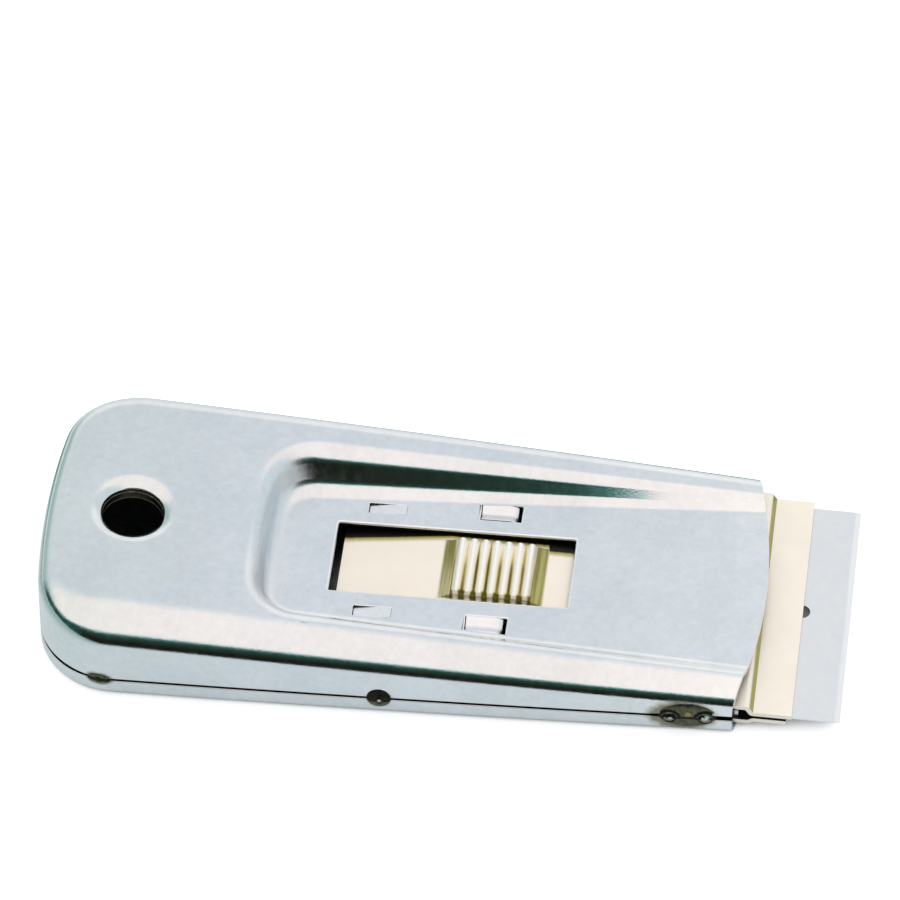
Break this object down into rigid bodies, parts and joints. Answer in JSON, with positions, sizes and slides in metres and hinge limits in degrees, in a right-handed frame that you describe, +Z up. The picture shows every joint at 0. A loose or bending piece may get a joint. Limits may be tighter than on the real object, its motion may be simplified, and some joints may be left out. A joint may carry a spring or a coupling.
{
  "type": "razor blade scraper",
  "caption": "Retractable razor blade scraper: a hollow pressed steel handle with a thumb recess, and a sliding carriage with a corrugated grip that holds a single edge blade.",
  "frame": {"origin": "middle of the handle's flat underside, in length and in width", "axes": "+X from the hang hole towards the cutting edge, +Y to the left seen from above with the blade pointing ahead, +Z up from the underside to the thumb grip"},
  "size_m": [0.1094, 0.0452, 0.0132],
  "materials": {
    "shell_steel": "bright zinc plate, fine vertical grain from tumbling",
    "plated_strip": "pale yellow passivated plate, soft sheen",
    "blade_steel": "ground and polished strip, bright honed bevel",
    "spine_steel": "plain folded strip, dull sheen",
    "weld_scale": "burnt brown weld bead with small bright spots"
  },
  "bodies": {
    "handle": {"top_shell": "shell_steel", "bottom_shell": "shell_steel", "rear_weld_left": "weld_scale", "rear_weld_right": "weld_scale", "middle_weld_left": "weld_scale", "middle_weld_right": "weld_scale", "front_weld_left": "weld_scale", "front_weld_right": "weld_scale"},
    "carriage": {"holder_top_plate": "plated_strip", "holder_bottom_plate": "plated_strip", "holder_spot_weld_left": "plated_strip", "holder_spot_weld_right": "plated_strip", "blade": "blade_steel", "blade_spine": "spine_steel"},
    "thumb_tongue": {"thumb_tongue": "plated_strip"}
  },
  "joints": [
    {"name": "carriage_slide", "type": "slide", "parent": "handle", "child": "carriage", "axis": [1, 0, 0], "range_m": [-0.0151, 0.0033]},
    {"name": "thumb_press", "type": "hinge", "parent": "carriage", "child": "thumb_tongue", "pos_m": [0.03614, 0, 0.00411], "axis": [0, 1, 0], "range_deg": [-2.2, 0], "stiffness_Nm_per_rad": 3}
  ]
}
